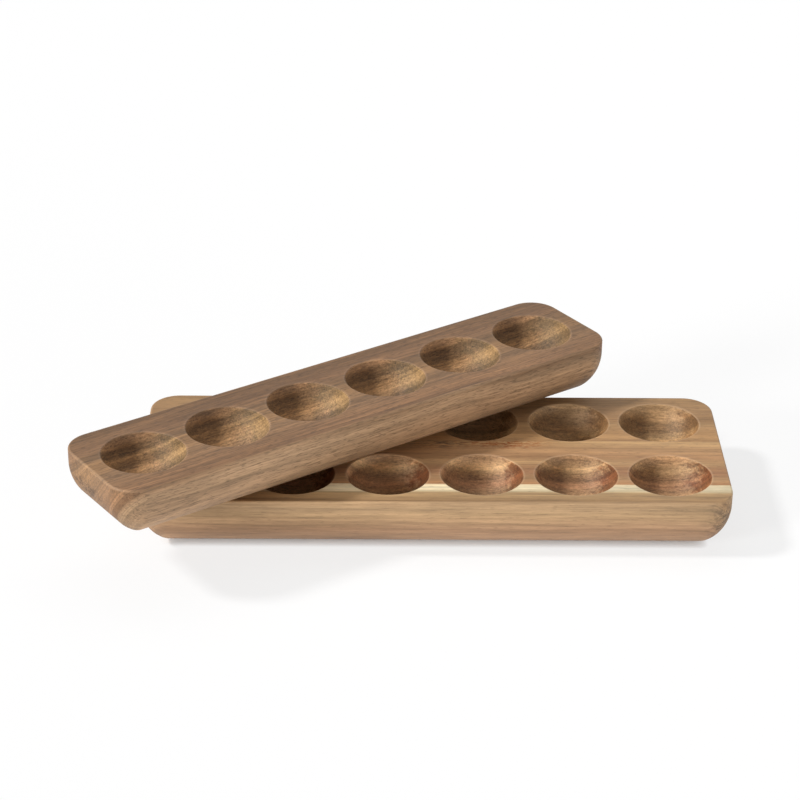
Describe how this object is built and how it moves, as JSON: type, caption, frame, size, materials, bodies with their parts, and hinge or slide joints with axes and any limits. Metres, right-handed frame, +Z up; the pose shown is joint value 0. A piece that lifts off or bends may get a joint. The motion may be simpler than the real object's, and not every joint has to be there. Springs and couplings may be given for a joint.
{
  "type": "wooden egg tray",
  "caption": "Shallow wooden egg trays with rows of round cups, rounded corners and edges that curve in underneath; a narrow tray lies turned across a wider one and lifts off.",
  "frame": {"origin": "Middle of the lower tray's flat underside, which stands on the table", "axes": "+X runs along the lower tray's length, +Y towards its back and +Z up, out of the cups"},
  "size_m": [0.3315, 0.2134, 0.064],
  "materials": {
    "back_stave": "satin",
    "middle_stave": "satin",
    "front_stave": "satin",
    "upper_tray": "satin"
  },
  "bodies": {
    "lower_body": {"back_stave": "back_stave", "middle_stave": "middle_stave", "front_stave": "front_stave"},
    "upper_body": {"upper_tray": "upper_tray"}
  },
  "joints": [
    {"name": "upper_tray_lift", "type": "slide", "parent": "lower_body", "child": "upper_body", "axis": [0, 0, 1], "range_m": [0, 0.1]}
  ]
}
